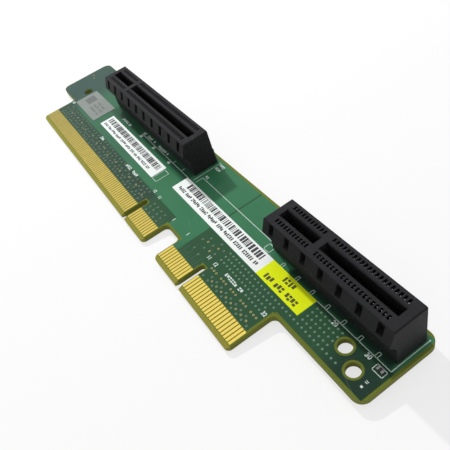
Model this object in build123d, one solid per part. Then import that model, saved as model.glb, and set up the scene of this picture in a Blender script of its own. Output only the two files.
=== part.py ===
from build123d import *
import os

# Riser card in millimetres. X runs along the card, Y goes from the mating edge into the card,
# and Z is up from the front face, which carries the slots. The origin is on the mating edge,
# at the centre of the key notch of the long tongue.

# Contact layout, shared by the tongues and the slots
pitch = 1.0
key_to_contact = 1.5
short_count = 11
x16_long_count = 71
x8_long_count = 38
x4_long_count = 21

# Tongues
x4_key_x = 32.0
side_margin = 0.65
key_width = 1.9
key_depth = 8.25
tongue_gap_depth = 8.0
tongue_corner = 1.0
bevel_run = 1.1
bevel_drop = 0.4

# Board
board_thickness = 1.57
shoulder_y = 12.7
left_tab = 12.85
right_tab = 26.05
far_margin = 1.55
corner_radius = 2.5
inner_radius = 1.5

# Edge fingers
finger_width = 0.7
finger_length = 4.4
finger_thickness = 0.05
finger_margin = 0.1

# Fixing holes, placed from the ends of the board
hole_radius = 1.6
hole_y = 18.75
left_hole_inset = 12.15
right_hole_inset = 10.75
outer_hole_inset = 6.0
outer_hole_y = 16.5

# Slots: places of their keys, and their moulded section measured from the opening's centre line
slot_1_key_x = -39.6
slot_2_key_x = 54.0
slot_y = 27.15
slot_height = 11.25
slot_end_wall = 3.0
near_top = 4.0
near_bulge = 5.35
near_foot = 3.8
bulge_z = 7.5
undercut_z = 5.4
far_wall = 3.8
far_foot = 4.1
far_foot_height = 4.6
far_corner_cut = 0.35
end_bevel = 0.3

# Opening for the mating card
opening_width = 2.1
opening_floor = 3.2
opening_clearance = 0.3
lead_in = 0.3
rib_width = 1.7

# Cells and their spring contacts
cell_width = 0.6
cell_near = 1.95
cell_far = 3.05
lip_bottom = 8.0
contact_width = 0.4
contact_thickness = 0.22
contact_play = 0.08
knee_reach = 0.3
tip_inset = 0.55
lip_play = 0.12

# Windows in the near wall
window_width = 1.6
window_bottom = 8.1
window_top = 10.9
window_wall = 0.45
slot_1_windows = 10
slot_2_windows = 7

# Six-sided pegs that locate a slot in round holes of the board
peg_radius = 1.15
peg_play = 0.05
peg_stick_out = 1.5
end_peg_inset = 2.0

# Labels: left end, right end, lower edge, upper edge. The grey one is placed from the left end of the board.
label_thickness = 0.1
grey_label_inset = 14.9
grey_label_width = 17.8
grey_label_rows = (12.5, 21.25)
short_label_box = (-48.4, -8.1, 13.65, 18.95)
long_label_box = (0.75, 42.3, 16.1, 21.45)
yellow_label_width = 15.4

# Chip resistor in the near right corner
chip_length = 1.6
chip_width = 0.8
chip_height = 0.45
chip_end = 0.5
chip_inset = 2.7
chip_y = 20.2


def reach(count):
    """Distance from a key to the centre of the last contact of a group."""
    return key_to_contact + (count - 1) * pitch


def group(key_x, side, count):
    """Contact centres on one side of a key: side is -1 towards -X and 1 towards +X."""
    return [key_x + side * (key_to_contact + i * pitch) for i in range(count)]


def box(x0, x1, y0, y1, z0, z1):
    """Box between two corners."""
    return Pos(x0, y0, z0) * Box(x1 - x0, y1 - y0, z1 - z0, align=(Align.MIN, Align.MIN, Align.MIN))


def prism(points, x0, x1):
    """Section of (y, z) points, drawn along X from x0 to x1."""
    section = Plane.YZ.offset(x0) * make_face(Polyline(*points, close=True))
    return extrude(section, x1 - x0)


# Places that follow from the sizes above
x16_left = -reach(x16_long_count) - side_margin
x16_right = reach(short_count) + side_margin
x4_left = x4_key_x - reach(short_count) - side_margin
x4_right = x4_key_x + reach(x4_long_count) + side_margin
board_left = x16_left - left_tab
board_right = x4_right + right_tab
board_far = slot_y + far_foot + far_margin
board_back = -board_thickness
fixing_holes = [
    (board_left + left_hole_inset, hole_y),
    (board_right - right_hole_inset, hole_y),
    (board_right - outer_hole_inset, outer_hole_y),
]


def corners(face, places):
    """Vertices of a face that lie nearest to the given places."""
    return [face.vertices().sort_by_distance((x, y, 0))[0] for x, y in places]


def board_outline():
    """Plan of the board with rounded corners, before its holes and keys."""
    body_corners = [
        (board_right, shoulder_y),
        (board_right, board_far),
        (board_left, board_far),
        (board_left, shoulder_y),
    ]
    inner_corners = [
        (x16_left, shoulder_y),
        (x16_right, tongue_gap_depth),
        (x4_left, tongue_gap_depth),
        (x4_right, shoulder_y),
    ]
    tongue_corners = [(x16_left, 0), (x16_right, 0), (x4_left, 0), (x4_right, 0)]
    path = Polyline(
        tongue_corners[0],
        tongue_corners[1],
        inner_corners[1],
        inner_corners[2],
        tongue_corners[2],
        tongue_corners[3],
        inner_corners[3],
        *body_corners,
        inner_corners[0],
        close=True,
    )
    face = make_face(path)
    face = fillet(corners(face, body_corners), corner_radius)
    face = fillet(corners(face, inner_corners), inner_radius)
    return fillet(corners(face, tongue_corners), tongue_corner)


def key_notch(key_x):
    """Plan of a key notch: a slot with a round end, open at the mating edge."""
    half = key_width / 2
    straight = Pos(key_x, (key_depth - half) / 2) * Rectangle(key_width, key_depth - half)
    return straight + Pos(key_x, key_depth - half) * Circle(half)


def peg_places(key_x, long_count):
    """Centres of a slot's two pegs: under its key rib and under its long end."""
    long_end = key_x + reach(long_count) + slot_end_wall
    return [(key_x, slot_y), (long_end - end_peg_inset, slot_y)]


slot_pegs = peg_places(slot_1_key_x, x8_long_count) + peg_places(slot_2_key_x, x4_long_count)


def circuit_board():
    """Board with both tongues, bevelled along the mating edge."""
    plan = board_outline() - [key_notch(0), key_notch(x4_key_x)]
    plan -= [Pos(x, y) * Circle(hole_radius) for x, y in fixing_holes]
    plan -= [Pos(x, y) * Circle(peg_radius + peg_play) for x, y in slot_pegs]
    side_profile = [
        (0, -bevel_drop),
        (bevel_run, 0),
        (board_far, 0),
        (board_far, board_back),
        (bevel_run, board_back),
        (0, board_back + bevel_drop),
    ]
    return extrude(plan, -board_thickness) & prism(side_profile, board_left, board_right)


def fingers(key_x, side, count, on_front):
    """One group of contact pads on one face of a tongue."""
    start = bevel_run + finger_margin
    bottom = 0 if on_front else board_back - finger_thickness
    half = finger_width / 2
    return [
        box(x - half, x + half, start, start + finger_length, bottom, bottom + finger_thickness)
        for x in group(key_x, side, count)
    ]


def slot_body(left, right):
    """Outer form of a slot housing: a flared near wall with a foot set back under it, and ends bevelled at the top."""
    section = [
        (slot_y - near_top, slot_height),
        (slot_y - near_bulge, bulge_z),
        (slot_y - near_foot, undercut_z),
        (slot_y - near_foot, 0),
        (slot_y + far_foot, 0),
        (slot_y + far_foot, far_foot_height),
        (slot_y + far_wall, far_foot_height),
        (slot_y + far_wall, slot_height),
    ]
    far_side = slot_y + far_foot
    plan = [
        (left, slot_y - near_bulge),
        (right, slot_y - near_bulge),
        (right, far_side - far_corner_cut),
        (right - far_corner_cut, far_side),
        (left + far_corner_cut, far_side),
        (left, far_side - far_corner_cut),
    ]
    end_profile = [
        (left, 0),
        (right, 0),
        (right, slot_height - end_bevel),
        (right - end_bevel, slot_height),
        (left + end_bevel, slot_height),
        (left, slot_height - end_bevel),
    ]
    upright = extrude(make_face(Polyline(*plan, close=True)), slot_height)
    along = extrude(Plane.XZ.offset(-far_side) * make_face(Polyline(*end_profile, close=True)), near_bulge + far_foot)
    return prism(section, left, right) & upright & along


def opening(left, right):
    """Room for the mating card between two X places, with a lead-in along its mouth."""
    half = opening_width / 2
    section = [
        (slot_y - half, opening_floor),
        (slot_y + half, opening_floor),
        (slot_y + half, slot_height - lead_in),
        (slot_y + half + lead_in, slot_height),
        (slot_y - half - lead_in, slot_height),
        (slot_y - half, slot_height - lead_in),
    ]
    return prism(section, left, right)


def cell(x, side):
    """Pocket for one contact: open at the top and, under the lip, to the opening."""
    half = opening_width / 2
    section = [
        (slot_y + side * cell_far, slot_height),
        (slot_y + side * cell_far, opening_floor),
        (slot_y + side * half, opening_floor),
        (slot_y + side * half, lip_bottom),
        (slot_y + side * cell_near, slot_height),
    ]
    return prism(section, x - cell_width / 2, x + cell_width / 2)


def near_wall_windows(key_x, long_count, count):
    """Pockets in the flared wall, spread evenly from the first contact to the last."""
    first = key_x - reach(short_count)
    step = (reach(short_count) + reach(long_count)) / (count - 1)
    back = slot_y - cell_far - window_wall
    half = window_width / 2
    return [
        box(x - half, x + half, slot_y - near_bulge, back, window_bottom, window_top)
        for x in (first + i * step for i in range(count))
    ]


def peg(x, y):
    """Locating peg under a housing, which sticks out at the back of the board."""
    return Pos(x, y) * extrude(RegularPolygon(peg_radius, 6), -board_thickness - peg_stick_out)


def slot_housing(key_x, long_count, windows):
    """Moulded body of one slot, with its short part towards -X."""
    left = key_x - reach(short_count) - slot_end_wall
    right = key_x + reach(long_count) + slot_end_wall
    half_rib = rib_width / 2
    end_room = side_margin + opening_clearance
    body = slot_body(left, right)
    body -= near_wall_windows(key_x, long_count, windows)
    body -= [
        opening(key_x - reach(short_count) - end_room, key_x - half_rib),
        opening(key_x + half_rib, key_x + reach(long_count) + end_room),
    ]
    places = group(key_x, -1, short_count) + group(key_x, 1, long_count)
    body -= [cell(x, side) for x in places for side in (-1, 1)]
    return body + [peg(x, y) for x, y in peg_places(key_x, long_count)]


def spring_contacts(key_x, long_count, side):
    """Row of tapered contacts that stand in the cells, bow into the opening and rise behind its lip."""
    half = opening_width / 2
    lip_slope = (cell_near - half) / (slot_height - lip_bottom)
    base = cell_far - contact_play - contact_thickness
    knee = half - knee_reach
    knee_z = lip_bottom - (knee_reach + lip_play) / lip_slope
    tip = cell_near + lip_play - tip_inset * lip_slope
    tip_z = slot_height - tip_inset
    section = [
        (slot_y + side * base, opening_floor),
        (slot_y + side * knee, knee_z),
        (slot_y + side * tip, tip_z),
        (slot_y + side * (knee + contact_thickness), knee_z),
        (slot_y + side * (base + contact_thickness), opening_floor),
    ]
    places = group(key_x, -1, short_count) + group(key_x, 1, long_count)
    return [prism(section, x - contact_width / 2, x + contact_width / 2) for x in places]


def label(x0, x1, y0, y1):
    """Paper label stuck on the front face."""
    return box(x0, x1, y0, y1, 0, label_thickness)


def grey_label():
    """Label beside the left fixing hole."""
    left = board_left + grey_label_inset
    return label(left, left + grey_label_width, *grey_label_rows)


def yellow_label():
    """Label that butts against the long white one."""
    left, right, bottom, top = long_label_box
    return label(right, right + yellow_label_width, bottom, top)


def chip_piece(x0, x1):
    """Length of the chip resistor between two distances from its left end."""
    left = board_right - chip_inset - chip_length / 2
    return box(left + x0, left + x1, chip_y - chip_width / 2, chip_y + chip_width / 2, 0, chip_height)


parts = {
    "circuit_board": circuit_board(),
    "slot_1_housing": slot_housing(slot_1_key_x, x8_long_count, slot_1_windows),
    "slot_2_housing": slot_housing(slot_2_key_x, x4_long_count, slot_2_windows),
    "slot_1_near_contacts": spring_contacts(slot_1_key_x, x8_long_count, -1),
    "slot_1_far_contacts": spring_contacts(slot_1_key_x, x8_long_count, 1),
    "slot_2_near_contacts": spring_contacts(slot_2_key_x, x4_long_count, -1),
    "slot_2_far_contacts": spring_contacts(slot_2_key_x, x4_long_count, 1),
    "grey_label": grey_label(),
    "short_white_label": label(*short_label_box),
    "long_white_label": label(*long_label_box),
    "yellow_label": yellow_label(),
    "chip_resistor_body": chip_piece(chip_end, chip_length - chip_end),
    "chip_resistor_ends": [chip_piece(0, chip_end), chip_piece(chip_length - chip_end, chip_length)],
}
tongues = {"x16": (0, -1, x16_long_count), "x4": (x4_key_x, 1, x4_long_count)}
for tongue, (key_x, long_side, long_count) in tongues.items():
    for face in ("front", "back"):
        on_front = face == "front"
        parts[f"{tongue}_short_fingers_{face}"] = fingers(key_x, -long_side, short_count, on_front)
        parts[f"{tongue}_long_fingers_{face}"] = fingers(key_x, long_side, long_count, on_front)

os.makedirs("parts", exist_ok=True)
for name, shape in parts.items():
    solids = Compound(children=shape) if isinstance(shape, list) else shape
    export_step(solids, f"parts/{name}.step")
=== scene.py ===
import math
import random

import bmesh
import bpy
from mathutils import Matrix, Vector


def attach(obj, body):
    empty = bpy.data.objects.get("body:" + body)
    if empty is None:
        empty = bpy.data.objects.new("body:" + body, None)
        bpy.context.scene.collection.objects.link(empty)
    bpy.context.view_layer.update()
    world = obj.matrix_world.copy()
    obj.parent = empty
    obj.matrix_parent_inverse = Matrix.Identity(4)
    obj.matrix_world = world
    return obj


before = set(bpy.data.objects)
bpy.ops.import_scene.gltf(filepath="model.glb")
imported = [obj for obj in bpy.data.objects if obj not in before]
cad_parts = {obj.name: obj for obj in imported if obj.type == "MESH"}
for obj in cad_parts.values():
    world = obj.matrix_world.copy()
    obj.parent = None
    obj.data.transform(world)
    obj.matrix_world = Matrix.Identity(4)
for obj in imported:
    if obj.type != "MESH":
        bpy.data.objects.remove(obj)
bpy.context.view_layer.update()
print("card frame loaded")

millimetre = 0.001
boardBack = -1.57  # sizes are in millimetres up to the studio, and the board's front face is at 0


# node helpers: a value is a number, a colour or another node's socket

def addNode(tree, kind, values=None, **settings):
    node = tree.nodes.new(kind)
    for key, value in settings.items():
        setattr(node, key, value)
    for key, value in (values or {}).items():
        if isinstance(value, bpy.types.NodeSocket):
            tree.links.new(value, node.inputs[key])
        else:
            node.inputs[key].default_value = value
    return node


def mathValue(tree, operation, *values):
    return addNode(tree, "ShaderNodeMath", dict(enumerate(values)), operation=operation).outputs[0]


def times(tree, first, second):
    return mathValue(tree, "MULTIPLY", first, second)


def larger(tree, first, second):
    return mathValue(tree, "MAXIMUM", first, second)


def vectorMath(tree, operation, *values):
    return addNode(tree, "ShaderNodeVectorMath", dict(enumerate(values)), operation=operation).outputs[0]


def vectorLength(tree, vector):
    return addNode(tree, "ShaderNodeVectorMath", {0: vector}, operation="LENGTH").outputs["Value"]


def splitVector(tree, vector):
    return addNode(tree, "ShaderNodeSeparateXYZ", {0: vector}).outputs


def mapRange(tree, value, low, high, first, second, kind="LINEAR"):
    # low to high becomes first to second, and it stays level past both ends
    values = {0: value, 1: low, 2: high, 3: first, 4: second}
    return addNode(tree, "ShaderNodeMapRange", values, interpolation_type=kind).outputs[0]


def spread(tree, noise, low=0.0, high=1.0):
    # noise keeps near its middle, so the middle is stretched
    return mapRange(tree, noise, 0.3, 0.7, low, high)


def noiseValue(tree, vector, scale, detail):
    values = {"Vector": vector, "Scale": scale, "Detail": detail}
    return addNode(tree, "ShaderNodeTexNoise", values).outputs["Fac"]


def mixValue(tree, share, first, second):
    return addNode(tree, "ShaderNodeMix", {0: share, 2: first, 3: second}).outputs[0]


def mixColour(tree, share, first, second):
    return addNode(tree, "ShaderNodeMix", {0: share, 6: first, 7: second}, data_type="RGBA").outputs[2]


# node groups

def newGroup(name, inputs, outputs):
    group = bpy.data.node_groups.new(name, "ShaderNodeTree")
    for label, kind, value in inputs:
        socket = group.interface.new_socket(name=label, in_out="INPUT", socket_type="NodeSocket" + kind)
        if value is not None:
            socket.default_value = value
    for label in outputs:
        group.interface.new_socket(name=label, in_out="OUTPUT", socket_type="NodeSocketFloat")
    return group, group.nodes.new("NodeGroupInput").outputs, group.nodes.new("NodeGroupOutput").inputs


def rectangleGroup():
    group, given, result = newGroup(
        "Soft Rectangle",
        [("Vector", "Vector", None), ("Low", "Vector", (0, 0, 0)), ("High", "Vector", (1, 1, 0)),
         ("Edge", "Float", 0.1)],
        ["Mask"])
    below = vectorMath(group, "SUBTRACT", given["Low"], given["Vector"])
    above = vectorMath(group, "SUBTRACT", given["Vector"], given["High"])
    outside = splitVector(group, vectorMath(group, "MAXIMUM", below, above))
    distance = larger(group, outside[0], outside[1])
    inner = times(group, given["Edge"], -1.0)
    soft = mapRange(group, distance, inner, given["Edge"], 1.0, 0.0, "SMOOTHSTEP")
    group.links.new(soft, result["Mask"])
    return group


def ringGroup():
    group, given, result = newGroup(
        "Soft Ring",
        [("Vector", "Vector", None), ("Centre", "Vector", (0, 0, 0)), ("Radius", "Float", 2.0),
         ("Edge", "Float", 0.1)],
        ["Mask"])
    offset = vectorMath(group, "SUBTRACT", given["Vector"], given["Centre"])
    reach = vectorLength(group, vectorMath(group, "MULTIPLY", offset, (1.0, 1.0, 0.0)))
    low = mathValue(group, "SUBTRACT", given["Radius"], given["Edge"])
    high = mathValue(group, "ADD", given["Radius"], given["Edge"])
    group.links.new(mapRange(group, reach, low, high, 1.0, 0.0, "SMOOTHSTEP"), result["Mask"])
    return group


def grainGroup():
    group, given, result = newGroup(
        "Surface Grain",
        [("Vector", "Vector", None), ("Coarse", "Float", 0.2), ("Fine", "Float", 3.0),
         ("Blend", "Float", 0.5)],
        ["Tone", "Height"])
    coarse = noiseValue(group, given["Vector"], given["Coarse"], 4.0)
    fine = noiseValue(group, given["Vector"], given["Fine"], 3.0)
    group.links.new(coarse, result["Tone"])
    group.links.new(mixValue(group, given["Blend"], coarse, fine), result["Height"])
    return group


scuffs = {
    "turns": (0.35, 1.9),
    "level": 0.66,
    "patchScale": 0.12,
    "patchLow": 0.42,
    "patchHigh": 0.68,
}


def handlingGroup():
    # light scuffs: thin streaks in two directions, broken up by patches
    group, given, result = newGroup(
        "Handling Marks",
        [("Vector", "Vector", None), ("Length", "Float", 0.08), ("Width", "Float", 2.2),
         ("Amount", "Float", 0.5)],
        ["Mask"])
    sides = {0: given["Width"], 1: given["Length"], 2: given["Width"]}
    along = addNode(group, "ShaderNodeCombineXYZ", sides).outputs[0]
    streaks = []
    for turn in scuffs["turns"]:
        values = {"Vector": given["Vector"], "Angle": turn}
        turned = addNode(group, "ShaderNodeVectorRotate", values, rotation_type="Z_AXIS").outputs[0]
        noise = noiseValue(group, vectorMath(group, "MULTIPLY", turned, along), 1.0, 3.0)
        streaks.append(mathValue(group, "GREATER_THAN", noise, scuffs["level"]))
    patches = noiseValue(group, given["Vector"], scuffs["patchScale"], 2.0)
    shown = mapRange(group, patches, scuffs["patchLow"], scuffs["patchHigh"], 0.0, 1.0)
    mask = times(group, larger(group, *streaks), shown)
    group.links.new(times(group, mask, given["Amount"]), result["Mask"])
    return group


softRectangle = rectangleGroup()
softRing = ringGroup()
surfaceGrain = grainGroup()
handlingMarks = handlingGroup()


def useGroup(tree, group, **values):
    return addNode(tree, "ShaderNodeGroup", values, node_tree=group).outputs


# material helpers

def newMaterial(name, **fixed):
    material = bpy.data.materials.new(name)
    material.use_nodes = True
    tree = material.node_tree
    shader = tree.nodes["Principled BSDF"]
    for key, value in fixed.items():
        shader.inputs[key.replace("_", " ")].default_value = value
    values = {0: addNode(tree, "ShaderNodeTexCoord").outputs["Object"], "Scale": 1 / millimetre}
    place = addNode(tree, "ShaderNodeVectorMath", values, operation="SCALE").outputs[0]
    return material, tree, shader, place


def setSurface(tree, shader, colour, roughness):
    tree.links.new(colour, shader.inputs["Base Color"])
    tree.links.new(roughness, shader.inputs["Roughness"])


def addBump(tree, shader, height, strength, depth):
    values = {"Height": height, "Strength": strength, "Distance": depth * millimetre}
    tree.links.new(addNode(tree, "ShaderNodeBump", values).outputs[0], shader.inputs["Normal"])


# the board's finish

boardLook = {
    "pour": (0.036, 0.166, 0.078, 1),
    "pourPale": (0.048, 0.186, 0.092, 1),
    "deep": (0.026, 0.082, 0.038, 1),
    "tab": (0.029, 0.071, 0.057, 1),
    "tongue": (0.025, 0.060, 0.037, 1),
    # painted shade: this tone and the next stand for shadow on the board beside the slots and at the near
    # right corner
    "shade": (0.013, 0.038, 0.023, 1),
    "paintedShadeBySlot": (0.020, 0.086, 0.043, 1),
    "bare": (0.125, 0.160, 0.020, 1),
    "barePale": (0.230, 0.240, 0.045, 1),
    "edge": (0.165, 0.180, 0.025, 1),
    "bevel": (0.290, 0.270, 0.042, 1),
    "gap": (0.200, 0.160, 0.036, 1),
    "scuff": (0.5, 0.6, 0.5, 1),
    "scuffShare": 0.12,
    "scuffRoughness": 0.15,
    "fadeShare": 0.35,
    "ringedHoles": ((69.45, 18.75), (74.2, 16.5)),
    "holeRing": 2.1,
    "warp": 9.5,
    "weft": 8.2,
    "clothShare": 0.35,
    "clothHeight": 0.35,
    "layers": 33.0,
    "layerShare": 0.5,
    "skin": 0.03,
    "bevelFrom": 1.12,
    "bevelTo": 0.95,
    "bevelShare": 0.8,
    "smooth": 0.32,
    "rough": 0.42,
    "bareRoughness": 0.3,
    # how softly each border ends
    "fadeEdge": 14.0,
    "bareEdge": 0.12,
    "gapEdge": 0.05,
    "ringEdge": 0.1,
}

# tones of the resist and painted shade, laid over each other in turn: tone, softness of its border, and each
# area as left, low, right, high; the last three areas are painted shade, the shadow at the near right corner
# and beside both slots
toneAndShadeAreas = (
    ("deep", 0.12, ((0.4, 5.0, 12.4, 11.2), (22.2, 5.0, 81.0, 16.0), (57.9, 15.0, 81.0, 21.6),
                    (22.15, 15.5, 22.65, 33.5))),
    ("tab", 7.0, ((-110.0, -10.0, -66.0, 50.0),)),
    ("tongue", 0.35, ((-75.0, 5.0, 0.4, 11.2),)),
    # painted shade from here on: shadow at the near right corner, along slot 2 and along slot 1
    ("shade", 4.0, ((69.0, 5.0, 90.0, 21.2),)),
    ("shade", 0.7, ((47.5, 21.8, 78.4, 31.6),)),
    ("paintedShadeBySlot", 0.9, ((-52.0, 19.6, 1.6, 31.6),)),
)

# where the pour leans to the tone of the tab
fadeAreas = ((-150.0, -30.0, -18.0, 70.0),)

# board without resist, along its rims
bareAreas = (
    (-90.0, -2.0, 90.0, 5.75), (54.0, 10.0, 90.0, 13.4), (79.6, 10.0, 90.0, 40.0), (-40.0, 32.1, 90.0, 40.0),
    (-90.0, 32.6, -40.0, 40.0), (11.85, -2.0, 20.1, 8.6), (-1.2, -2.0, 1.2, 8.5), (30.75, -2.0, 33.15, 8.5),
    (-90.0, -2.0, -71.9, 12.8), (-90.0, 0.0, -84.8, 40.0), (53.5, -2.0, 56.5, 12.9))

# the board between the fingers
gapAreas = (
    (-71.8, 1.25, -1.1, 5.6), (1.1, 1.25, 11.8, 5.6), (20.2, 1.25, 30.8, 5.6), (33.1, 1.25, 53.7, 5.6))


def areaMask(tree, place, areas, edge):
    mask = None
    for left, low, right, high in areas:
        corners = {"Low": (left, low, 0), "High": (right, high, 0)}
        one = useGroup(tree, softRectangle, Vector=place, Edge=edge, **corners)[0]
        mask = one if mask is None else larger(tree, mask, one)
    return mask


def boardMaterial():
    material, tree, shader, place = newMaterial("Green Resist Board", Specular_IOR_Level=0.16)
    grain = useGroup(tree, surfaceGrain, Vector=place, Coarse=0.09, Fine=2.4, Blend=0.6)
    marks = useGroup(tree, handlingMarks, Vector=place, Length=0.05, Width=1.6, Amount=0.5)["Mask"]

    colour = mixColour(tree, spread(tree, grain["Tone"]), boardLook["pour"], boardLook["pourPale"])
    fade = times(tree, areaMask(tree, place, fadeAreas, boardLook["fadeEdge"]), boardLook["fadeShare"])
    colour = mixColour(tree, fade, colour, boardLook["tab"])
    # resist tones, then painted shade beside the slots and at the near right corner
    for tone, edge, areas in toneAndShadeAreas:
        colour = mixColour(tree, areaMask(tree, place, areas, edge), colour, boardLook[tone])

    bare = areaMask(tree, place, bareAreas, boardLook["bareEdge"])
    for x, y in boardLook["ringedHoles"]:
        radius, edge = boardLook["holeRing"], boardLook["ringEdge"]
        ring = useGroup(tree, softRing, Vector=place, Centre=(x, y, 0), Radius=radius, Edge=edge)[0]
        bare = larger(tree, bare, ring)

    # glass cloth under the resin: two crossed bands, and layers along the cut edge
    parts = splitVector(tree, place)
    warp = mathValue(tree, "SINE", times(tree, parts[0], boardLook["warp"]))
    weft = mathValue(tree, "SINE", times(tree, parts[1], boardLook["weft"]))
    cloth = mathValue(tree, "MULTIPLY_ADD", times(tree, warp, weft), 0.5, 0.5)
    clothShare = times(tree, cloth, boardLook["clothShare"])
    bareColour = mixColour(tree, clothShare, boardLook["bare"], boardLook["barePale"])
    colour = mixColour(tree, bare, colour, bareColour)
    gaps = areaMask(tree, place, gapAreas, boardLook["gapEdge"])
    colour = mixColour(tree, gaps, colour, boardLook["gap"])

    layers = mathValue(tree, "SINE", times(tree, parts[2], boardLook["layers"]))
    layers = mathValue(tree, "MULTIPLY_ADD", layers, 0.5, 0.5)
    edgeShare = times(tree, layers, boardLook["layerShare"])
    edgeColour = mixColour(tree, edgeShare, boardLook["edge"], boardLook["barePale"])
    cut = times(tree, mathValue(tree, "LESS_THAN", parts[2], -boardLook["skin"]),
                mathValue(tree, "GREATER_THAN", parts[2], boardBack + boardLook["skin"]))
    colour = mixColour(tree, cut, colour, edgeColour)
    bevelTo, bevelFrom = boardLook["bevelTo"], boardLook["bevelFrom"]
    bevel = mapRange(tree, parts[1], bevelTo, bevelFrom, boardLook["bevelShare"], 0.0)
    colour = mixColour(tree, bevel, colour, boardLook["bevel"])
    colour = mixColour(tree, times(tree, marks, boardLook["scuffShare"]), colour, boardLook["scuff"])

    resist = spread(tree, grain["Tone"], boardLook["smooth"], boardLook["rough"])
    rough = mathValue(tree, "MULTIPLY_ADD", larger(tree, bare, cut), boardLook["bareRoughness"], resist)
    rough = mathValue(tree, "MULTIPLY_ADD", marks, boardLook["scuffRoughness"], rough)
    setSurface(tree, shader, colour, rough)
    height = mathValue(tree, "MULTIPLY_ADD", cloth, boardLook["clothHeight"], grain["Height"])
    addBump(tree, shader, height, strength=0.25, depth=0.05)
    return material


# metals, plastic, paper and ink

goldLook = {
    "fresh": (0.74, 0.58, 0.120, 1),
    "worn": (0.62, 0.50, 0.12, 1),
    "wiped": (0.80, 0.66, 0.22, 1),
    "wipedShare": 0.25,
    # painted reflection, lighter towards +x and darker towards -x: colour, the x where it starts, the x
    # where it is whole, and its share there
    "paintedSheen": ((0.93, 0.74, 0.150, 1), -5.0, 36.0, 0.75),
    "dull": ((0.46, 0.40, 0.12, 1), -20.0, -70.0, 0.62),
    "wipeStretch": (14.0, 0.5, 1.0),
    "smooth": 0.26,
    "rough": 0.46,
}


def goldMaterial():
    material, tree, shader, place = newMaterial("Finger Gold", Metallic=1.0)
    grain = useGroup(tree, surfaceGrain, Vector=place, Coarse=0.35, Fine=6.0, Blend=0.7)
    # wipe marks run up each finger, the way the card is pushed in
    wipes = noiseValue(tree, vectorMath(tree, "MULTIPLY", place, goldLook["wipeStretch"]), 1.0, 4.0)
    colour = mixColour(tree, spread(tree, grain["Tone"]), goldLook["fresh"], goldLook["worn"])
    wiped = times(tree, spread(tree, wipes), goldLook["wipedShare"])
    colour = mixColour(tree, wiped, colour, goldLook["wiped"])
    # painted reflection: the gold is lighter towards the short tongues and darker towards the long tongue's
    # far end
    along = splitVector(tree, place)[0]
    for tone, start, end, share in (goldLook["paintedSheen"], goldLook["dull"]):
        colour = mixColour(tree, mapRange(tree, along, start, end, 0.0, share), colour, tone)
    setSurface(tree, shader, colour, spread(tree, wipes, goldLook["smooth"], goldLook["rough"]))
    addBump(tree, shader, wipes, strength=0.15, depth=0.02)
    return material


contactLook = {
    "root": (0.30, 0.25, 0.14, 1),
    "tip": (0.66, 0.65, 0.62, 1),
    "tipFrom": 8.5,
    "tipTo": 9.8,
    "tint": (0.45, 0.36, 0.18, 1),
    "tintShare": 0.3,
    "smooth": 0.22,
    "rough": 0.4,
}


def contactMaterial():
    material, tree, shader, place = newMaterial("Contact Plating", Metallic=1.0)
    grain = useGroup(tree, surfaceGrain, Vector=place, Coarse=0.6, Fine=8.0, Blend=0.5)
    height = splitVector(tree, place)[2]
    tip = mapRange(tree, height, contactLook["tipFrom"], contactLook["tipTo"], 0.0, 1.0)
    colour = mixColour(tree, tip, contactLook["root"], contactLook["tip"])
    tint = times(tree, grain["Tone"], contactLook["tintShare"])
    colour = mixColour(tree, tint, colour, contactLook["tint"])
    rough = spread(tree, grain["Height"], contactLook["smooth"], contactLook["rough"])
    setSurface(tree, shader, colour, rough)
    return material


housingLook = {
    "dark": (0.0150, 0.0151, 0.0163, 1),
    "pale": (0.0215, 0.0218, 0.0235, 1),
    # painted highlight: the top face and the upper edge of each housing are painted lighter
    "topLight": (0.036, 0.0365, 0.039, 1),
    "topLightFrom": 11.0,
    "topLightTo": 11.25,
    "topLightShare": 0.5,
    "scuff": (0.14, 0.14, 0.15, 1),
    "scuffShare": 0.25,
    "scuffRoughness": 0.12,
    "flowStretch": (0.12, 1.4, 1.4),
    "smooth": 0.38,
    "rough": 0.52,
}


def housingMaterial():
    material, tree, shader, place = newMaterial("Moulded Slot Plastic", Specular_IOR_Level=0.05)
    grain = useGroup(tree, surfaceGrain, Vector=place, Coarse=0.12, Fine=9.0, Blend=0.75)
    marks = useGroup(tree, handlingMarks, Vector=place, Length=0.07, Width=2.0, Amount=0.8)["Mask"]
    # flow of the glass-filled plastic along the moulding
    flow = noiseValue(tree, vectorMath(tree, "MULTIPLY", place, housingLook["flowStretch"]), 1.0, 5.0)
    colour = mixColour(tree, spread(tree, flow), housingLook["dark"], housingLook["pale"])
    height = splitVector(tree, place)[2]
    # painted highlight on the top of the housing
    topLight = mapRange(tree, height, housingLook["topLightFrom"], housingLook["topLightTo"], 0.0, housingLook["topLightShare"])
    colour = mixColour(tree, topLight, colour, housingLook["topLight"])
    colour = mixColour(tree, times(tree, marks, housingLook["scuffShare"]), colour, housingLook["scuff"])
    plain = spread(tree, flow, housingLook["smooth"], housingLook["rough"])
    rough = mathValue(tree, "MULTIPLY_ADD", marks, housingLook["scuffRoughness"], plain)
    setSurface(tree, shader, colour, rough)
    addBump(tree, shader, grain["Height"], strength=0.3, depth=0.03)
    return material


paperLook = {
    "stain": 0.25,
    "scuffShare": 0.3,
    "uneven": 0.08,
}


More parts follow.
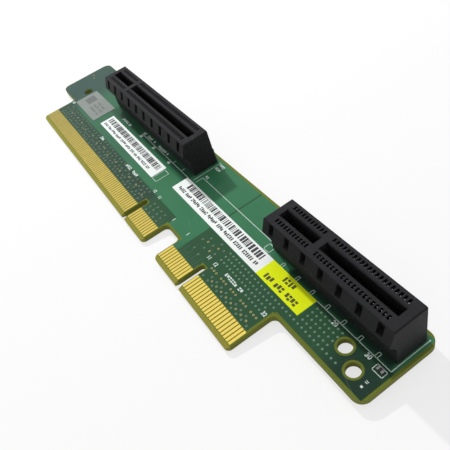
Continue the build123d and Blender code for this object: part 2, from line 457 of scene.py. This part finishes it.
def paperMaterial(name, colour, shade, roughness, stain=paperLook["stain"]):
    material, tree, shader, place = newMaterial(name, Specular_IOR_Level=0.15)
    grain = useGroup(tree, surfaceGrain, Vector=place, Coarse=0.18, Fine=7.0, Blend=0.6)
    marks = useGroup(tree, handlingMarks, Vector=place, Length=0.12, Width=1.8, Amount=0.6)["Mask"]
    tone = mixColour(tree, times(tree, spread(tree, grain["Tone"]), stain), colour, shade)
    tone = mixColour(tree, times(tree, marks, paperLook["scuffShare"]), tone, shade)
    smooth, rough = roughness - paperLook["uneven"], roughness + paperLook["uneven"]
    setSurface(tree, shader, tone, spread(tree, grain["Height"], smooth, rough))
    addBump(tree, shader, grain["Height"], strength=0.25, depth=0.04)
    return material


inkLook = {
    "roughness": 0.55,
    "smoother": 0.06,
    "rougher": 0.1,
    "wornShare": 0.6,
}


def inkMaterial(name, colour, worn, roughness=inkLook["roughness"]):
    material, tree, shader, place = newMaterial(name)
    grain = useGroup(tree, surfaceGrain, Vector=place, Coarse=1.2, Fine=9.0, Blend=0.6)
    tone = mixColour(tree, spread(tree, grain["Tone"], 0.0, inkLook["wornShare"]), colour, worn)
    smooth, rough = roughness - inkLook["smoother"], roughness + inkLook["rougher"]
    setSurface(tree, shader, tone, spread(tree, grain["Height"], smooth, rough))
    addBump(tree, shader, grain["Height"], strength=0.2, depth=0.01)
    return material


tinLook = {
    "smooth": 0.2,
    "rough": 0.42,
}


def tinMaterial(name, colour, dull):
    material, tree, shader, place = newMaterial(name, Metallic=1.0)
    grain = useGroup(tree, surfaceGrain, Vector=place, Coarse=1.1, Fine=10.0, Blend=0.5)
    tone = mixColour(tree, spread(tree, grain["Tone"]), colour, dull)
    setSurface(tree, shader, tone, spread(tree, grain["Height"], tinLook["smooth"], tinLook["rough"]))
    addBump(tree, shader, grain["Height"], strength=0.2, depth=0.02)
    return material


boardFinish = boardMaterial()
goldFinish = goldMaterial()
contactFinish = contactMaterial()
housingFinish = housingMaterial()
whitePaper = paperMaterial("White Label Paper", (0.90, 0.945, 0.92, 1), (0.78, 0.84, 0.82, 1), 0.55)
greyPaper = paperMaterial("Grey Label Film", (0.245, 0.272, 0.254, 1), (0.205, 0.235, 0.218, 1), 0.45, 0.5)
yellowPaper = paperMaterial("Lemon Label Paper", (0.82, 0.93, 0.010, 1), (0.70, 0.80, 0.006, 1), 0.5)
glazeFinish = inkMaterial("Resistor Glaze", (0.015, 0.015, 0.017, 1), (0.035, 0.035, 0.04, 1), 0.3)
tinFinish = tinMaterial("Resistor Tin", (0.72, 0.71, 0.68, 1), (0.52, 0.51, 0.49, 1))
tipFinish = tinMaterial("Tinned Contact Tips", (0.62, 0.62, 0.61, 1), (0.38, 0.38, 0.37, 1))
solderFinish = tinMaterial("Solder", (0.66, 0.67, 0.68, 1), (0.42, 0.43, 0.45, 1))
silkInk = inkMaterial("White Legend Ink", (0.72, 0.80, 0.76, 1), (0.42, 0.58, 0.50, 1))
printInk = inkMaterial("Black Label Print", (0.020, 0.020, 0.022, 1), (0.09, 0.09, 0.10, 1))
oliveInk = inkMaterial("Yellow Label Print", (0.055, 0.060, 0.014, 1), (0.130, 0.140, 0.022, 1))
greyInk = inkMaterial("Grey Label Print", (0.115, 0.13, 0.127, 1), (0.17, 0.19, 0.185, 1))
coveredCopper = inkMaterial("Covered Copper", (0.115, 0.220, 0.150, 1), (0.160, 0.280, 0.195, 1), 0.36)
coveredRun = inkMaterial("Covered Copper Run", (0.036, 0.094, 0.052, 1), (0.046, 0.110, 0.064, 1), 0.36)
coveredRing = inkMaterial("Covered Via Ring", (0.125, 0.200, 0.140, 1), (0.205, 0.280, 0.195, 1), 0.4)
giltRing = inkMaterial("Open Via Ring", (0.430, 0.380, 0.140, 1), (0.290, 0.310, 0.160, 1), 0.4)
holeShade = inkMaterial("Via Depth", (0.010, 0.022, 0.013, 1), (0.018, 0.036, 0.022, 1), 0.6)
print("finishes made")

# every node that isn't named here is gold fingers
nodeFinishes = {
    "circuit_board": boardFinish,
    "slot_1_housing": housingFinish, "slot_2_housing": housingFinish,
    "slot_1_near_contacts": contactFinish, "slot_1_far_contacts": contactFinish,
    "slot_2_near_contacts": contactFinish, "slot_2_far_contacts": contactFinish,
    "grey_label": greyPaper, "short_white_label": whitePaper, "long_white_label": whitePaper,
    "yellow_label": yellowPaper, "chip_resistor_body": glazeFinish, "chip_resistor_ends": tinFinish,
}
for name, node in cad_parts.items():
    for materialSlot in node.material_slots:
        materialSlot.material = nodeFinishes.get(name, goldFinish)


# building helpers: meshes are made in millimetres and shrunk to metres at the end

def addBar(bm, left, low, right, high, bottom, top):
    middle = Vector(((left + right) / 2, (low + high) / 2, (bottom + top) / 2))
    size = Matrix.Diagonal((right - left, high - low, top - bottom, 1))
    bmesh.ops.create_cube(bm, size=1, matrix=Matrix.Translation(middle) @ size)


def addPiece(name, bm, materials):
    bmesh.ops.scale(bm, vec=(millimetre,) * 3, verts=bm.verts)
    mesh = bpy.data.meshes.new(name)
    bm.to_mesh(mesh)
    bm.free()
    piece = bpy.data.objects.new(name, mesh)
    for material in materials:
        mesh.materials.append(material)
    bpy.context.scene.collection.objects.link(piece)
    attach(piece, "root")
    return piece


numberLook = {
    "bolder": 0.045,
    "curveSteps": 3,
}


def addNumber(bm, body, x, y, size, bottom, height, flip=False):
    # a plain number with its middle at x, y
    curve = bpy.data.curves.new("number", "FONT")
    curve.body = body
    curve.size = size
    curve.align_x = "CENTER"
    curve.align_y = "CENTER"
    curve.extrude = height / 2
    curve.offset = numberLook["bolder"]
    curve.resolution_u = numberLook["curveSteps"]
    holder = bpy.data.objects.new("number", curve)
    bpy.context.scene.collection.objects.link(holder)
    bpy.context.view_layer.update()
    mesh = bpy.data.meshes.new_from_object(holder)
    place = Matrix.Translation((x, y, bottom + height / 2))
    if flip:
        place = place @ Matrix.Rotation(math.pi, 4, "Y")
    mesh.transform(place)
    bm.from_mesh(mesh)
    bpy.data.objects.remove(holder)
    bpy.data.curves.remove(curve)
    bpy.data.meshes.remove(mesh)


markLook = {
    "stroke": 0.2,
    "width": 0.62,
    "narrower": 0.1,
    "step": 1.3,
    "wordGap": 1.1,
    "wordLeast": 2,
    "wordSpread": 5,
}


def addMarks(bm, left, low, right, high, bottom, top, draw, stroke, width):
    # a row of plain small shapes that has the rhythm of print and says nothing
    x = left
    run = 0
    middle = (low + high) / 2
    while x + width <= right + 0.01:
        kind = draw.randrange(4)
        if kind == 0:
            addBar(bm, x, low, x + width, middle - stroke / 2, bottom, top)
            addBar(bm, x, middle + stroke / 2, x + width, high, bottom, top)
        elif kind == 1:
            addBar(bm, x, low, x + width, high - stroke, bottom, top)
        elif kind == 2:
            inset = width * markLook["narrower"]
            addBar(bm, x + inset, low, x + width - inset, high, bottom, top)
        else:
            addBar(bm, x, low + stroke, x + width, high, bottom, top)
        x += width * markLook["step"]
        run += 1
        if run > markLook["wordLeast"] + draw.randrange(markLook["wordSpread"]):
            x += width * markLook["wordGap"]
            run = 0


def stamp(bm, pattern, places):
    # copies of one small mesh at many places
    mesh = bpy.data.meshes.new("pattern")
    pattern.to_mesh(mesh)
    pattern.free()
    for x, y in places:
        mesh.transform(Matrix.Translation((x, y, 0)))
        bm.from_mesh(mesh)
        mesh.transform(Matrix.Translation((-x, -y, 0)))
    bpy.data.meshes.remove(mesh)


# white legend on the front: lines and marks as left, low, right, high, numbers as body, x, y, size

legend = {
    "bottom": -0.01,
    "top": 0.016,
    "lines": (
        (-30.0, 21.37, 0.6, 21.53), (57.8, 21.37, 78.9, 21.53), (78.82, 21.45, 79.0, 31.5),
        (2.92, 22.0, 3.08, 31.5), (4.22, 22.0, 4.38, 24.45), (4.3, 24.37, 37.5, 24.53),
        (37.5, 23.64, 39.7, 23.8), (37.5, 21.7, 39.7, 21.86), (37.5, 21.7, 37.66, 23.8),
        (39.54, 21.7, 39.7, 23.8), (-8.68, 21.45, -8.52, 22.7), (-3.48, 21.45, -3.32, 22.7),
        (76.1, 19.2, 78.8, 19.34), (76.1, 20.76, 78.8, 20.9), (76.1, 19.2, 76.24, 20.9),
        (78.66, 19.2, 78.8, 20.9), (-7.8, 13.7, -5.2, 13.84), (-7.8, 18.16, -5.2, 18.3),
        (-7.8, 13.7, -7.66, 18.3), (-5.34, 13.7, -5.2, 18.3)),
    # middle of each cup-shaped tick along slot 2
    "cups": (44.9, 50.2, 55.3, 60.3, 65.3, 70.1, 74.9),
    "cupLow": 21.45,
    "cupHigh": 22.8,
    "cupHalf": 0.4,
    "cupStroke": 0.14,
    "numbers": (
        ("12", -1.9, 11.7, 1.35), ("11", 1.6, 11.4, 1.35), ("1", 12.4, 10.2, 1.5), ("1", 19.8, 10.4, 1.5),
        ("11", 30.5, 10.45, 1.35), ("12", 33.4, 10.45, 1.4), ("32", 52.6, 11.05, 1.4),
        ("82", -70.6, 11.8, 1.3), ("20", 64.3, 20.6, 1.45), ("30", 73.9, 20.6, 1.45),
        ("20", -29.2, 20.7, 1.3), ("30", -20.2, 20.7, 1.35), ("40", -9.9, 20.7, 1.35)),
    "seed": 7,
    "marks": (
        (37.6, 10.3, 44.6, 11.2), (-19.8, 10.3, -16.7, 11.3), (-15.3, 10.3, -11.3, 11.3),
        (-40.7, 10.2, -37.7, 11.2), (-30.0, 21.8, -28.0, 22.7), (-27.2, 21.8, -24.0, 22.7),
        (-22.8, 21.8, -21.7, 22.7), (-19.5, 21.8, -13.3, 22.7), (-43.7, 20.3, -37.5, 21.2),
        (3.6, 30.3, 6.0, 31.2), (3.6, 28.8, 6.0, 29.7), (4.4, 25.0, 6.0, 25.8),
        (77.3, 15.2, 78.6, 15.65), (77.3, 16.5, 78.6, 17.0)),
}


def frontLegend():
    bm = bmesh.new()
    bottom, top = legend["bottom"], legend["top"]
    low, high, half, stroke = legend["cupLow"], legend["cupHigh"], legend["cupHalf"], legend["cupStroke"]
    for line in legend["lines"]:
        addBar(bm, *line, bottom, top)
    for x in legend["cups"]:
        for left in (x - half, x + half - stroke):
            addBar(bm, left, low, left + stroke, high, bottom, top)
        addBar(bm, x - half, high - stroke, x + half, high, bottom, top)
    for body, x, y, size in legend["numbers"]:
        addNumber(bm, body, x, y, size, bottom, top - bottom)
    draw = random.Random(legend["seed"])
    for row in legend["marks"]:
        addMarks(bm, *row, bottom, top, draw, markLook["stroke"], markLook["width"])
    return addPiece("front_legend", bm, [silkInk])


frontLegend()


# outlines and pin numbers round the soldered tails, on the back

backLegend = {
    "height": 0.02,
    # left end, right end, last pin number of each slot
    "fields": ((-53.2, 0.6, "49"), (40.4, 77.8, "32")),
    "low": 22.4,
    "high": 31.9,
    "stroke": 0.16,
    "numberSize": 1.5,
    "numberDrop": 1.3,
    "firstInset": 1.6,
    "lastInset": 1.8,
    "seed": 19,
    "marks": ((-64.0, 24.5, -57.0, 25.6), (8.0, 27.6, 14.0, 28.7), (60.0, 19.0, 66.5, 20.1),
              (24.0, 18.5, 27.0, 19.5)),
}


def backLegendLines():
    bm = bmesh.new()
    bottom, top = boardBack - backLegend["height"], boardBack
    low, high, stroke = backLegend["low"], backLegend["high"], backLegend["stroke"]
    for left, right, last in backLegend["fields"]:
        addBar(bm, left, low, right, low + stroke, bottom, top)
        addBar(bm, left, high - stroke, right, high, bottom, top)
        addBar(bm, left, low, left + stroke, high, bottom, top)
        addBar(bm, right - stroke, low, right, high, bottom, top)
        y = low - backLegend["numberDrop"]
        for body, x in (("1", left + backLegend["firstInset"]), (last, right - backLegend["lastInset"])):
            addNumber(bm, body, x, y, backLegend["numberSize"], bottom, top - bottom, flip=True)
    draw = random.Random(backLegend["seed"])
    for row in backLegend["marks"]:
        addMarks(bm, *row, bottom, top, draw, markLook["stroke"], markLook["width"])
    return addPiece("back_legend", bm, [silkInk])


backLegendLines()


# vias and covered dots

viaPlan = {
    "outer": 0.29,
    "inner": 0.13,
    "height": 0.03,
    "depth": 0.06,
    "dip": 0.6,
    "sides": 12,
    "seed": 3,
    # uneven rows behind the long tongue's fingers, going left
    "firstX": -2.6,
    "pitch": 2.0,
    "stagger": 0.9,
    "columns": 34,
    "rows": (10.4, 9.1, 7.8, 6.5),
}


def viaPattern(onFront, ringFinish):
    bm = bmesh.new()
    out = 1 if onFront else -1
    face = 0.0 if onFront else boardBack
    middle = face + out * (viaPlan["height"] - viaPlan["depth"] / 2)
    bmesh.ops.create_cone(
        bm, cap_ends=True, segments=viaPlan["sides"], radius1=viaPlan["outer"], radius2=viaPlan["outer"],
        depth=viaPlan["depth"], matrix=Matrix.Translation((0, 0, middle)))
    lid = max(bm.faces, key=lambda side: side.calc_center_median().z * out)
    bmesh.ops.inset_individual(bm, faces=[lid], thickness=viaPlan["outer"] - viaPlan["inner"])
    bmesh.ops.translate(bm, verts=list(lid.verts), vec=(0, 0, -out * viaPlan["height"] * viaPlan["dip"]))
    for side in bm.faces:
        side.material_index = 1 if side == lid else ringFinish
    return bm


def viaRow(firstX, step, count, y):
    return [(firstX + step * k, y) for k in range(count)]


viaDraw = random.Random(viaPlan["seed"])


def strayed(x, y, acrossMost, upMost):
    return x + viaDraw.uniform(-acrossMost, acrossMost), y + viaDraw.uniform(-upMost, upMost)


plainVias = [strayed(viaPlan["firstX"] - viaPlan["pitch"] * k - viaPlan["stagger"] * (row % 2), y, 0.4, 0.22)
             for row, y in enumerate(viaPlan["rows"]) for k in range(viaPlan["columns"])]
plainVias += [(x, y) for y in (9.2, 7.8, 6.4) for x in (2.8, 4.8, 7.0, 9.1)]
plainVias += viaRow(36.1, 2.04, 8, 7.85) + viaRow(34.1, 2.04, 10, 6.5)
plainVias += [(24.2, 12.4), (25.6, 14.1), (26.9, 11.2), (28.0, 13.2), (29.3, 15.0), (30.6, 12.1),
              (31.4, 14.2), (25.0, 9.4), (27.6, 9.0)]
giltVias = [place for left in (33.8, 38.0, 42.1, 46.2, 50.2) for place in viaRow(left, 1.04, 3, 9.2)]
giltVias += [(26.0, 12.9), (29.8, 13.6), (28.8, 11.6), (-82.5, 25.0), (-80.2, 24.3)]
giltVias += viaRow(37.1, 2.04, 8, 7.15)
giltVias += [strayed(-3.6 - 5.1 * k, 8.4, 0.6, 0.9) for k in range(13)]


def vias():
    bm = bmesh.new()
    for onFront in (True, False):
        stamp(bm, viaPattern(onFront, 0), plainVias)
        stamp(bm, viaPattern(onFront, 2), giltVias)
    return addPiece("through_vias", bm, [coveredRing, holeShade, giltRing])


vias()

dotPlan = {
    "radius": 0.32,
    "crown": 0.75,
    "pitch": 1.3,
    "height": 0.025,
    "sides": 12,
    # y, first x, last x
    "rows": ((15.0, 33.25, 70.7), (13.6, 33.25, 53.0), (12.25, 33.25, 51.6), (10.9, 45.8, 50.4),
             (20.3, 59.2, 67.0), (19.0, 59.2, 67.0), (17.7, 59.2, 67.0), (16.35, 59.2, 67.0)),
}


def coveredDots():
    bm = bmesh.new()
    places = []
    for y, left, right in dotPlan["rows"]:
        steps = int((right - left) / dotPlan["pitch"] + 0.5)
        places += [(left + dotPlan["pitch"] * k, y) for k in range(steps + 1)]
    for face, lower, upper in ((0.0, 1.0, dotPlan["crown"]), (boardBack, dotPlan["crown"], 1.0)):
        dot = bmesh.new()
        bmesh.ops.create_cone(
            dot, cap_ends=True, segments=dotPlan["sides"], radius1=dotPlan["radius"] * lower,
            radius2=dotPlan["radius"] * upper, depth=dotPlan["height"] * 2,
            matrix=Matrix.Translation((0, 0, face)))
        stamp(bm, dot, places)
    return addPiece("covered_dots", bm, [coveredCopper])


coveredDots()


# copper runs under the resist, from the fingers to their vias

runPlan = {
    "width": 0.18,
    "bottom": -0.01,
    "top": 0.012,
    "start": 5.7,
    # first x, step, count, and where the runs end in turn
    "rows": ((-1.5, -1.0, 71, (6.1, 7.5, 8.9)), (1.5, 1.0, 11, (7.5, 8.9)), (30.5, -1.0, 11, (7.4, 8.9))),
}


def copperRuns():
    bm = bmesh.new()
    half = runPlan["width"] / 2
    for firstX, step, count, ends in runPlan["rows"]:
        for k in range(count):
            x = firstX + step * k
            end = ends[k % len(ends)]
            addBar(bm, x - half, runPlan["start"], x + half, end, runPlan["bottom"], runPlan["top"])
    return addPiece("copper_runs", bm, [coveredRun])


copperRuns()
print("board details made")


# label print: bars and blocks in a generic rhythm

printPlan = {
    "bottom": 0.08,
    "top": 0.112,
    "barWidths": (0.2, 0.24, 0.4, 0.62, 0.85),
    "gapWidths": (0.2, 0.2, 0.4, 0.5),
}

# blocks, bars and rows as left, low, right, high, and for rows also stroke and width of a mark
labelPrints = {
    "short_label_print": {
        "seed": 11, "ink": printInk, "slot": "white_paper",
        "bars": ((-47.2, 16.2, -9.6, 18.2),),
        "rows": ((-47.2, 14.5, -12.0, 15.4, 0.2, 0.46),),
    },
    "long_label_print": {
        "seed": 5, "ink": printInk, "slot": "white_paper",
        "bars": ((4.3, 18.9, 40.0, 20.9),),
        "rows": ((2.4, 17.2, 41.0, 18.25, 0.24, 0.52),),
    },
    "yellow_label_print": {
        "seed": 23, "ink": oliveInk, "slot": "yellow_paper",
        "rows": ((48.2, 19.2, 52.2, 20.65, 0.28, 0.76), (44.2, 16.8, 57.2, 18.25, 0.28, 0.76)),
    },
    "grey_label_print": {
        "seed": 31, "ink": greyInk, "slot": "grey_paper",
        "blocks": ((-68.2, 15.4, -63.8, 19.2),),
        "rows": ((-61.6, 17.9, -54.2, 18.8, 0.2, 0.7), (-61.6, 16.3, -54.2, 17.2, 0.2, 0.7),
                 (-61.6, 14.7, -54.2, 15.6, 0.2, 0.7)),
    },
}


def addBars(bm, left, low, right, high, draw):
    x = left
    while x < right:
        width = draw.choice(printPlan["barWidths"])
        addBar(bm, x, low, min(x + width, right), high, printPlan["bottom"], printPlan["top"])
        x += width + draw.choice(printPlan["gapWidths"])


def labelPrint(name, plan):
    bm = bmesh.new()
    draw = random.Random(plan["seed"])
    bottom, top = printPlan["bottom"], printPlan["top"]
    for block in plan.get("blocks", ()):
        addBar(bm, *block, bottom, top)
    for bars in plan.get("bars", ()):
        addBars(bm, *bars, draw)
    for left, low, right, high, stroke, width in plan["rows"]:
        addMarks(bm, left, low, right, high, bottom, top, draw, stroke, width)
    return addPiece(name, bm, [plan["ink"]])


for name, plan in labelPrints.items():
    labelPrint(name, plan)
print("label print made")


# soldered tails on the back

slotPlan = {
    # x of each slot's key, and how many contacts stand on its left and its right
    "keys": ((-39.6, 11, 38), (54.0, 11, 21)),
    "keyGap": 1.5,
    "pitch": 1.0,
    "middle": 27.15,
}

tailPlan = {
    "rows": (3.1, 1.15),
    "bead": 0.62,
    "beadTop": 0.24,
    "beadHeight": 0.55,
    "beadSink": 0.02,
    "waist": 0.8,
    "sides": 12,
    "pin": 0.36,
    "pinFlat": 0.8,
    "pinLength": 1.05,
    "pinRoot": 0.1,
}


def slotColumns(keyX, left, right):
    gap, pitch = slotPlan["keyGap"], slotPlan["pitch"]
    return [keyX - gap - pitch * k for k in range(left)] + [keyX + gap + pitch * k for k in range(right)]


def tailPattern():
    bm = bmesh.new()
    height = tailPlan["beadHeight"]
    middle = boardBack - height / 2 + tailPlan["beadSink"]
    bmesh.ops.create_cone(
        bm, cap_ends=True, segments=tailPlan["sides"], radius1=tailPlan["beadTop"],
        radius2=tailPlan["bead"], depth=height, matrix=Matrix.Translation((0, 0, middle)))
    upright = [e for e in bm.edges if abs(e.verts[0].co.z - e.verts[1].co.z) > height / 2]
    bmesh.ops.subdivide_edges(bm, edges=upright, cuts=1)
    for v in bm.verts:
        if abs(v.co.z - middle) < height / 4:
            v.co.x *= tailPlan["waist"]
            v.co.y *= tailPlan["waist"]
    across = tailPlan["pin"] / 2
    along = across * tailPlan["pinFlat"]
    tip, root = boardBack - tailPlan["pinLength"], boardBack - tailPlan["pinRoot"]
    addBar(bm, -across, -along, across, along, tip, root)
    return bm


def solderedTails():
    bm = bmesh.new()
    places = []
    for slotKey in slotPlan["keys"]:
        for k, x in enumerate(sorted(slotColumns(*slotKey))):
            for side in (-1, 1):
                row = tailPlan["rows"][(k + (side > 0)) % 2]
                places.append((x, slotPlan["middle"] + side * row))
    stamp(bm, tailPattern(), places)
    return addPiece("soldered_tails", bm, [solderFinish])


solderedTails()
print("soldered tails made")


# bent tips of the spring contacts, seen in the open cells

tipPlan = {
    "width": 0.36,
    "length": 0.5,
    "thickness": 0.2,
    "reach": 2.14,
    "height": 10.66,
    "lean": 0.5,
    "rounding": 0.04,
}


def contactTips():
    bm = bmesh.new()
    size = Matrix.Diagonal((tipPlan["width"], tipPlan["length"], tipPlan["thickness"], 1))
    for slotKey in slotPlan["keys"]:
        for side in (-1, 1):
            turn = Matrix.Rotation(side * tipPlan["lean"], 4, "X")
            y = slotPlan["middle"] + side * tipPlan["reach"]
            for x in slotColumns(*slotKey):
                place = Matrix.Translation((x, y, tipPlan["height"]))
                bmesh.ops.create_cube(bm, size=1, matrix=place @ turn @ size)
    bmesh.ops.bevel(bm, geom=bm.edges[:], offset=tipPlan["rounding"], offset_type="OFFSET", segments=1,
                    profile=0.5, affect="EDGES", material=-1)
    return addPiece("contact_tips", bm, [tipFinish])


contactTips()
print("contact tips made")


# floor, world, light and camera, in metres

studio = {
    "eye": (0.114192, -0.010731, 0.094083),
    "look": (-0.67325, 0.22372, -0.70476),
    "up": (-0.5192, 0.5356, 0.66601),
    "lens": 42.2188,
    "sensor": 36.0,
    "nearest": 0.005,
    "farthest": 10.0,
    # y and z of two points that the floor passes through, under the pegs and the back fingers
    "restNear": (0.0011, -0.00162),
    "restFar": (0.0265, -0.00309),
    "floorSize": 2.5,
    "floorColour": (0.88, 0.88, 0.88, 1),
    "floorRoughness": 0.9,
    "floorGloss": 0.1,
    "nearGlow": 0.7,
    "fadeFrom": 0.1,
    "fadeTo": 0.45,
    "ambient": 0.58,
    "keyFrom": (-0.74, 0.115, 0.64),
    "keyReach": 0.55,
    "keySize": 0.035,
    "keyPower": 2.4,
    "middle": (0.0, 0.018, 0.0),
}
white = (1, 1, 1, 1)


def seenDirectly(tree):
    # 1 for rays from the camera and for those that a gloss or a clear piece sends on
    rays = addNode(tree, "ShaderNodeLightPath").outputs
    sentOn = larger(tree, rays["Is Glossy Ray"], rays["Is Transmission Ray"])
    return larger(tree, rays["Is Camera Ray"], sentOn)


def floorMaterial():
    material = bpy.data.materials.new("Pale Studio Floor")
    material.use_nodes = True
    tree = material.node_tree
    shader = tree.nodes["Principled BSDF"]
    shader.inputs["Base Color"].default_value = studio["floorColour"]
    shader.inputs["Roughness"].default_value = studio["floorRoughness"]
    shader.inputs["Specular IOR Level"].default_value = studio["floorGloss"]
    glow = addNode(tree, "ShaderNodeEmission", {"Color": white, "Strength": 1.0}).outputs[0]
    # the floor fades into the white room away from the card
    reach = vectorLength(tree, addNode(tree, "ShaderNodeTexCoord").outputs["Object"])
    start, end = studio["fadeFrom"], studio["fadeTo"]
    glowShare = mapRange(tree, reach, start, end, studio["nearGlow"], 1.0, "SMOOTHSTEP")
    share = times(tree, seenDirectly(tree), glowShare)
    mix = addNode(tree, "ShaderNodeMixShader", {0: share, 1: shader.outputs[0], 2: glow})
    tree.links.new(mix.outputs[0], tree.nodes["Material Output"].inputs["Surface"])
    return material


def addFloor():
    bm = bmesh.new()
    nearY, nearZ = studio["restNear"]
    farY, farZ = studio["restFar"]
    tilt = math.atan2(farZ - nearZ, farY - nearY)
    place = Matrix.Translation((0, nearY, nearZ)) @ Matrix.Rotation(tilt, 4, "X")
    bmesh.ops.create_grid(bm, x_segments=1, y_segments=1, size=studio["floorSize"], matrix=place)
    mesh = bpy.data.meshes.new("studio_floor")
    bm.to_mesh(mesh)
    bm.free()
    mesh.materials.append(floorMaterial())
    floor = bpy.data.objects.new("studio_floor", mesh)
    bpy.context.scene.collection.objects.link(floor)


def addWorld():
    world = bpy.data.worlds.new("Studio")
    world.use_nodes = True
    tree = world.node_tree
    background = tree.nodes["Background"]
    background.inputs["Color"].default_value = white
    strength = mixValue(tree, seenDirectly(tree), studio["ambient"], 1.0)
    tree.links.new(strength, background.inputs["Strength"])
    bpy.context.scene.world = world


def addKeyLight():
    data = bpy.data.lights.new("soft_key", "AREA")
    data.shape = "DISK"
    data.size = studio["keySize"]
    data.energy = studio["keyPower"]
    lamp = bpy.data.objects.new("soft_key", data)
    lamp.visible_glossy = False  # the pale room is what shows in the gloss
    towards = Vector(studio["keyFrom"]).normalized()
    place = Vector(studio["middle"]) + towards * studio["keyReach"]
    lamp.matrix_world = Matrix.Translation(place) @ towards.to_track_quat("Z", "Y").to_matrix().to_4x4()
    bpy.context.scene.collection.objects.link(lamp)


def addCamera():
    data = bpy.data.cameras.new("camera")
    data.lens = studio["lens"]
    data.sensor_width = studio["sensor"]
    data.sensor_fit = "HORIZONTAL"
    data.clip_start = studio["nearest"]
    data.clip_end = studio["farthest"]
    camera = bpy.data.objects.new("camera", data)
    look = Vector(studio["look"]).normalized()
    right = look.cross(Vector(studio["up"])).normalized()
    turn = Matrix((right, right.cross(look), -look)).transposed().to_4x4()
    camera.matrix_world = Matrix.Translation(Vector(studio["eye"])) @ turn
    bpy.context.scene.collection.objects.link(camera)
    bpy.context.scene.camera = camera


addFloor()
addWorld()
addKeyLight()
addCamera()
bpy.context.scene.view_settings.view_transform = "Standard"
print("studio ready")

bpy.context.view_layer.update()
